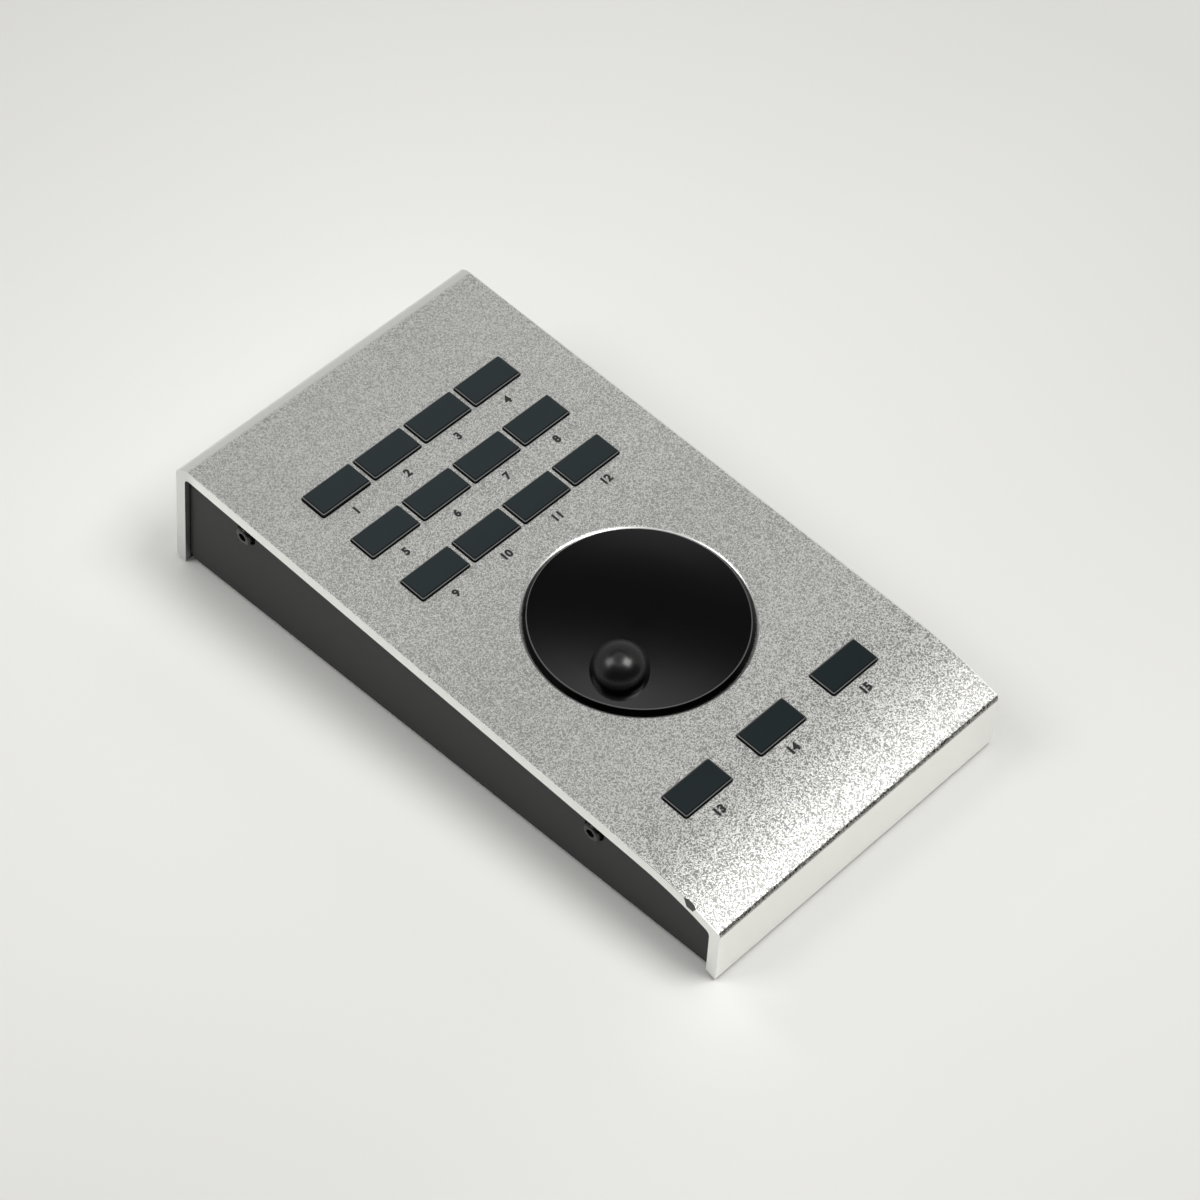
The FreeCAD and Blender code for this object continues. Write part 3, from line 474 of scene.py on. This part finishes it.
# ---------------------------------------------------------------- printed numbers in front of the keys
g = Graph("print_black")
edge = g.noise(5.0, 3.0, 0.7)
g.set(
    Base_Color=g.mix(edge, (0.010, 0.010, 0.011), (0.022, 0.022, 0.023)),
    Roughness=g.ramp(edge, 0.3, 0.7, 0.44, 0.60),
    Specular_IOR_Level=0.4,
)
g.bump(edge, 0.2, 0.01)
INK = g


def legend(number, x, s, height):
    """One number, printed flat on the face: height in mm, its middle at x, s."""
    cu = bpy.data.curves.new(f"legend_{number:02d}", "FONT")
    cu.body = str(number)
    cu.size = 1.0
    cu.extrude = 0.004
    cu.resolution_u = 6
    cu.offset = 0.030
    cu.bevel_depth = 0.026
    cu.bevel_resolution = 0
    tmp = bpy.data.objects.new(f"tmp_{number:02d}", cu)
    scene.collection.objects.link(tmp)
    bpy.context.view_layer.update()
    me = bpy.data.meshes.new_from_object(tmp.evaluated_get(bpy.context.evaluated_depsgraph_get()))
    bpy.data.objects.remove(tmp)
    xs = [v.co.x for v in me.vertices]
    ys = [v.co.y for v in me.vertices]
    k = 0.001 * height / (max(ys) - min(ys))
    me.transform(Matrix.Diagonal((k, k, 0.12 * k, 1.0)) @ Matrix.Translation((-0.5 * (min(xs) + max(xs)), -0.5 * (min(ys) + max(ys)), 0.0)))
    o = bpy.data.objects.new(f"legend_{number:02d}", me)
    scene.collection.objects.link(o)
    me.materials.clear()
    me.materials.append(INK.m)
    o.matrix_world = Matrix.Translation(face(x, s, 0.006)) @ FACE_TURN
    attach(o, "housing")
    return o


for i, (kx, ks) in enumerate(KEYS, 1):
    legend(i, kx - 0.4, ks - 8.3, 2.75)

# ---------------------------------------------------------------- floor, light, camera
g = Graph("studio_floor")
fx, fy, _ = g.split(g.co)
ox = g.math("MAXIMUM", g.math("SUBTRACT", g.math("ABSOLUTE", fx), 52.5), 0.0)
oy = g.math("MAXIMUM", g.math("SUBTRACT", g.math("ABSOLUTE", fy), 103.0), 0.0)
reach = g.math("SQRT", g.math("ADD", g.math("POWER", ox, 2.0), g.math("POWER", oy, 2.0)))   # distance from the object
# painted light and shade on the floor: lighter towards the rear
albedo_and_painted_light = g.ramp(fy, -110.0, 60.0, 0.855, 0.915)
# painted shade: darker far from the object
albedo_and_painted_light = g.math("SUBTRACT", albedo_and_painted_light, g.ramp(reach, 40.0, 240.0, 0.0, 0.13, smooth=False))
# painted light: lighter close to the object, filling in its shadow
albedo_and_painted_light = g.math("ADD", albedo_and_painted_light, g.ramp(reach, 3.0, 22.0, 0.040, 0.0))
# painted light: lighter still beside its left side, filling in the shadow there
albedo_and_painted_light = g.math("ADD", albedo_and_painted_light, g.math("MULTIPLY", g.ramp(reach, 10.0, 42.0, 0.060, 0.0), g.ramp(fx, -58.0, -48.0, 1.0, 0.0)))
albedo_and_painted_light = g.math("MINIMUM", g.math("ADD", albedo_and_painted_light, g.ramp(g.noise(0.004, 2.0, 0.5), 0.3, 0.7, -0.005, 0.005)), 0.985)
warm = g.t.nodes.new("ShaderNodeCombineColor")
for k, share in enumerate((1.0, 1.0, 0.979)):
    g.put(warm.inputs[k], g.math("MULTIPLY", albedo_and_painted_light, share))
g.set(
    Base_Color=warm.outputs[0],
    Roughness=g.ramp(g.noise(0.02, 2.0, 0.5), 0.3, 0.7, 0.78, 0.86),
    Specular_IOR_Level=0.2,
)
me = bpy.data.meshes.new("floor")
me.from_pydata([(-6, -6, 0), (6, -6, 0), (6, 6, 0), (-6, 6, 0)], [], [(0, 1, 2, 3)])
floor = bpy.data.objects.new("floor", me)
scene.collection.objects.link(floor)
me.materials.append(g.m)

world = bpy.data.worlds.new("studio")
scene.world = world
world.use_nodes = True
wt = world.node_tree
wt.nodes.clear()
wo = wt.nodes.new("ShaderNodeOutputWorld")
bg = wt.nodes.new("ShaderNodeBackground")
tc = wt.nodes.new("ShaderNodeTexCoord")
sep = wt.nodes.new("ShaderNodeSeparateXYZ")
cr = wt.nodes.new("ShaderNodeValToRGB")
wt.links.new(tc.outputs["Generated"], sep.inputs[0])
wt.links.new(sep.outputs[2], cr.inputs[0])
wt.links.new(bg.outputs[0], wo.inputs[0])
el = cr.color_ramp.elements
el[0].position, el[0].color = 0.0, (0.46, 0.46, 0.455, 1)
el[1].position, el[1].color = 1.0, (0.50, 0.50, 0.495, 1)
for pos, v in ((0.45, 0.44), (0.70, 0.44), (0.745, 0.58), (0.777, 0.02), (0.848, 0.02), (0.895, 0.98), (0.95, 0.85)):
    e = el.new(pos)
    e.color = (v, v, v * 0.99, 1)


def wnode(kind, *inputs):
    n = wt.nodes.new("ShaderNodeMath")
    n.operation = kind
    for i, v in enumerate(inputs):
        if isinstance(v, bpy.types.NodeSocket):
            wt.links.new(v, n.inputs[i])
        else:
            n.inputs[i].default_value = v
    return n.outputs[0]


def wstep(socket, lo, hi, a, b):
    n = wt.nodes.new("ShaderNodeMapRange")
    n.interpolation_type = "SMOOTHSTEP"
    wt.links.new(socket, n.inputs["Value"])
    for key, value in (("From Min", lo), ("From Max", hi), ("To Min", a), ("To Max", b)):
        n.inputs[key].default_value = value
    return n.outputs["Result"]


# the room is darker towards the front left, below the lamps
toward = wnode("ADD", wnode("MULTIPLY", sep.outputs[0], -0.5), wnode("MULTIPLY", sep.outputs[1], -0.866))
shade = wnode("MULTIPLY", wstep(toward, 0.08, 0.42, 0.0, 0.88), wstep(sep.outputs[2], 0.70, 0.78, 1.0, 0.0))
dim = wt.nodes.new("ShaderNodeMix")
dim.data_type = "RGBA"
dim.inputs[7].default_value = (0.0, 0.0, 0.0, 1.0)
wt.links.new(shade, dim.inputs[0])
wt.links.new(cr.outputs[0], dim.inputs[6])
wt.links.new(dim.outputs[2], bg.inputs[0])
bg.inputs["Strength"].default_value = 1.0


def softbox(name, direction, distance, size, power, shape="SQUARE"):
    la = bpy.data.lights.new(name, "AREA")
    la.shape = shape
    la.size = size
    la.energy = power
    la.color = (1.0, 0.995, 0.98)
    o = bpy.data.objects.new(name, la)
    scene.collection.objects.link(o)
    d = Vector(direction).normalized()
    target = Vector((0, 0, 0.03))
    o.location = target + d * distance
    o.rotation_mode = "QUATERNION"
    o.rotation_quaternion = (-d).to_track_quat("-Z", "Y")
    return o


softbox("light_rear_left", (-0.483, 0.359, 0.799), 1.6, 0.70, 5.8)
softbox("light_front", (0.226, -0.450, 0.864), 1.6, 0.70, 12.5)

cam = bpy.data.cameras.new("camera")
cam.sensor_width = 36.0
cam.sensor_fit = "HORIZONTAL"
cam.lens = 110.7212
cam.clip_start, cam.clip_end = 0.05, 50.0
co = bpy.data.objects.new("camera", cam)
scene.collection.objects.link(co)
co.matrix_world = Matrix((
    (0.7018072, 0.54768485, -0.45553041, -0.44131905),
    (-0.7122487, 0.5278264, -0.46271059, -0.45820292),
    (-0.0129786, 0.64918457, 0.76052019, 0.76489637),
    (0.0, 0.0, 0.0, 1.0),
))
scene.camera = co
scene.view_settings.view_transform = "Standard"
scene.view_settings.look = "None"
scene.view_settings.exposure = 0.0
scene.view_settings.gamma = 1.0
